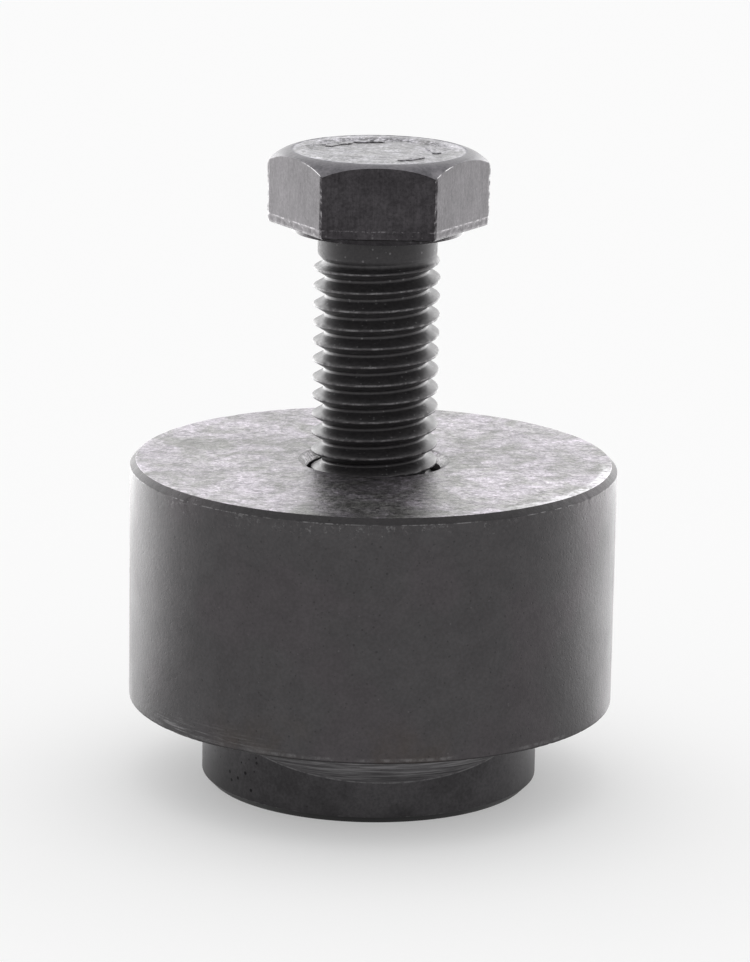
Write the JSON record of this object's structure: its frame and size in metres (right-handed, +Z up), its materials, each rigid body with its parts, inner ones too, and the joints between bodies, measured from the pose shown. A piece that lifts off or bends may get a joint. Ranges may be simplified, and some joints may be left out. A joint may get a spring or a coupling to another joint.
{
  "type": "sink hole punch",
  "caption": "Screw-driven punch for round holes in sheet metal: a hexagon drive bolt passes through a cup-shaped die and screws into a cutting punch.",
  "frame": {"origin": "centre of the punch's flat foot, on the bench that it stands on", "axes": "+Z up along the common axis of punch, die and bolt; the head's flats face along Y and the punch's two cutting points lie on X"},
  "size_m": [0.046, 0.046, 0.0606],
  "materials": {
    "drive_bolt": "dark oiled bolt steel",
    "die": "black oxide, worn bright on the edges",
    "punch": "black oxide with a finish-turned land"
  },
  "bodies": {
    "punch": {"punch": "punch"},
    "die": {"die": "die"},
    "drive_bolt": {"drive_bolt": "drive_bolt"}
  },
  "joints": [
    {"name": "die_travel", "type": "slide", "parent": "punch", "child": "die", "axis": [0, 0, 1], "range_m": [0, 0.00875]},
    {"name": "bolt_turn", "type": "hinge", "parent": "die", "child": "drive_bolt", "pos_m": [0, 0, 0.031], "axis": [0, 0, 1], "range_deg": [0, 1800]}
  ],
  "couplings": [
    {"joint": "bolt_turn", "follows": "die_travel", "rad_per_m": 3590.4}
  ]
}
